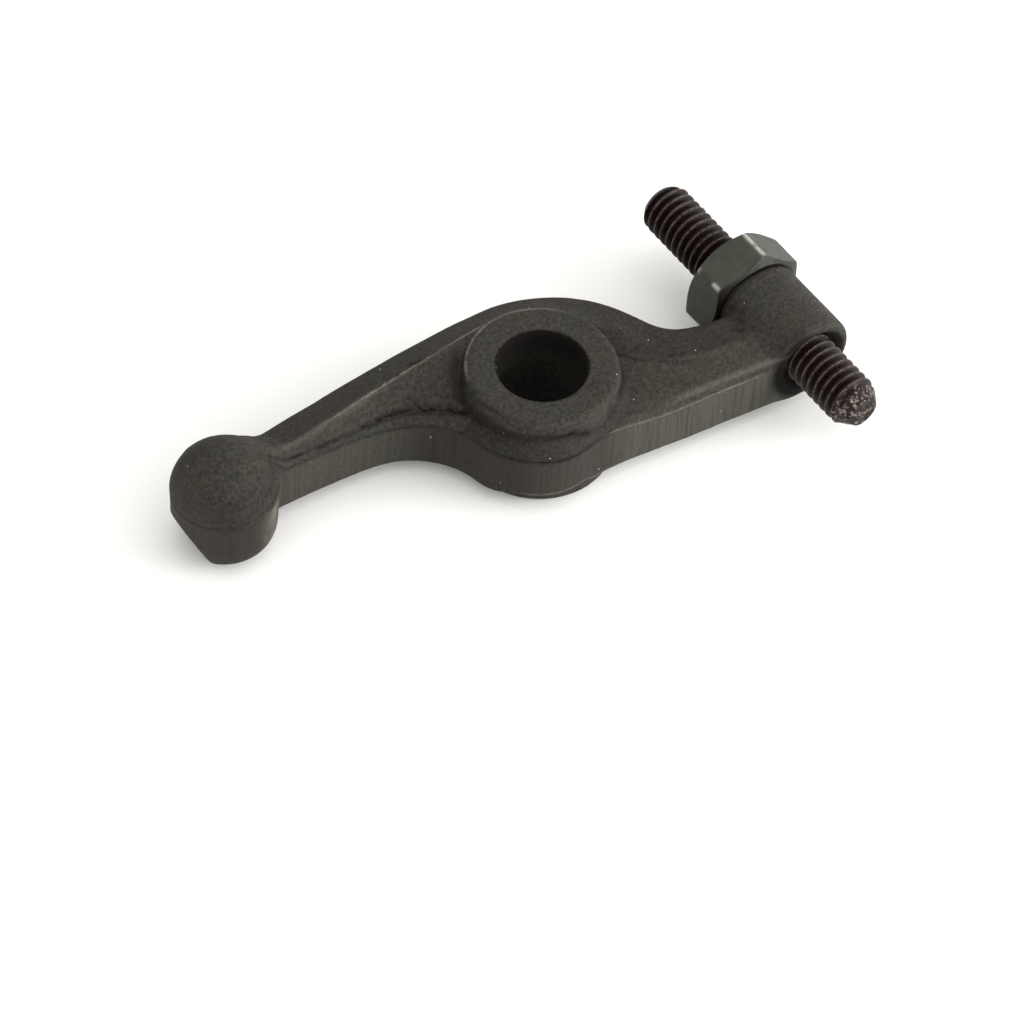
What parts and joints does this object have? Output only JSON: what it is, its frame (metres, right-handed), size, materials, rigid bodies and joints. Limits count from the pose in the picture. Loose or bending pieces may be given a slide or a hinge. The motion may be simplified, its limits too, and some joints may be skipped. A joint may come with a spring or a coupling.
{
  "type": "rocker arm",
  "caption": "Forged steel rocker arm with a pivot bore, a rounded push knob and a threaded adjusting screw held by a hex lock nut.",
  "frame": {"origin": "middle of the pivot bore, half way up the hub", "axes": "+Z along the pivot bore, out of the face with the raised ridge; +Y along the adjusting screw, from its point to its free end; +X from the hub towards the screw end"},
  "size_m": [0.1006, 0.0486, 0.0178],
  "materials": {
    "forged_steel": "black oxide over an as-forged skin",
    "screw_steel": "black oxide, rolled thread",
    "nut_steel": "phosphated, grey"
  },
  "bodies": {
    "arm": {"rocker_body": "forged_steel"},
    "nut": {"lock_nut": "nut_steel"},
    "screw": {"adjusting_screw": "screw_steel"}
  },
  "joints": [
    {"name": "nut_turn", "type": "hinge", "parent": "arm", "child": "nut", "pos_m": [0.0376, 0, 0], "axis": [0, 1, 0], "range_deg": [-720, 720]},
    {"name": "screw_advance", "type": "slide", "parent": "nut", "child": "screw", "axis": [0, 1, 0], "range_m": [-0.0028, 0.0028]}
  ],
  "couplings": [
    {"joint": "nut_turn", "follows": "screw_advance", "rad_per_m": 4452.7}
  ]
}
